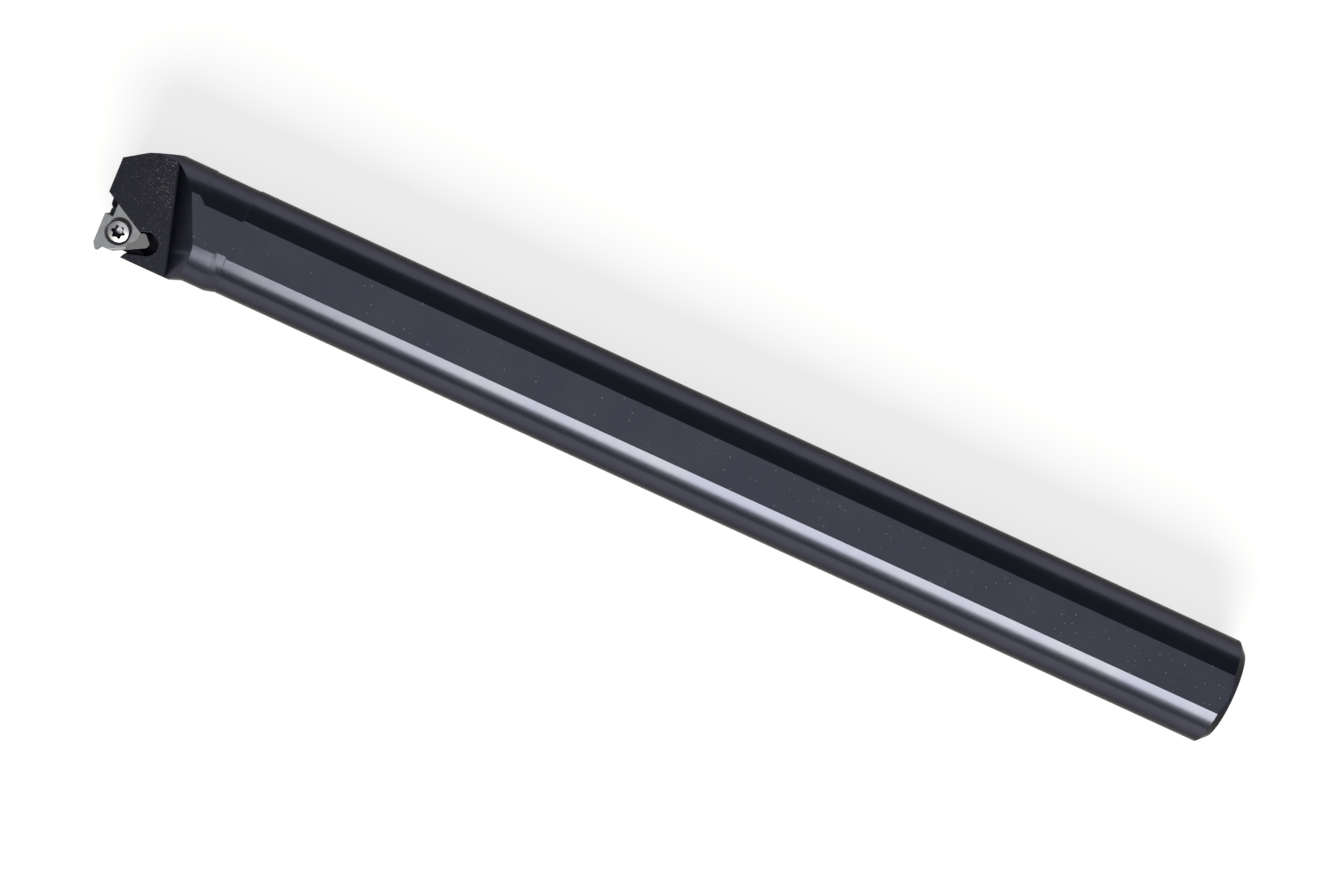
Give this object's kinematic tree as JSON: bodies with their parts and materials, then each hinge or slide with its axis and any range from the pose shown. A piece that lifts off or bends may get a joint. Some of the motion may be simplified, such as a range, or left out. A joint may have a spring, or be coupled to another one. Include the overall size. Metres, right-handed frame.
{
  "type": "internal threading toolholder",
  "caption": "Round steel bar with milled flats whose angled head carries a threading insert, screwed down over a shim.",
  "frame": {"origin": "centre of the shank's rear face, on the shank's centre line", "axes": "+X runs along the shank to the head, +Y is the cutting side, +Z is square to the flats on the side of the insert's top"},
  "size_m": [0.3512, 0.035, 0.0296],
  "materials": {
    "blackened_steel": "turned and milled steel, blackened, thin oil sheen, speckled and lightly pitted on the head",
    "shim_carbide": "sintered carbide, ground flat",
    "black_screw": "blackened steel screw",
    "ground_carbide": "uncoated ground carbide, satin grey",
    "plated_screw": "bright plated steel screw"
  },
  "bodies": {
    "holder": {"holder_bar": "blackened_steel", "shim": "shim_carbide", "shim_screw": "black_screw", "threading_insert": "ground_carbide"},
    "screw": {"insert_screw": "plated_screw"}
  },
  "joints": [
    {"name": "screw_back_out", "type": "slide", "parent": "holder", "child": "screw", "axis": [0, 0.2588, 0.9659], "range_m": [0, 0.006]}
  ]
}
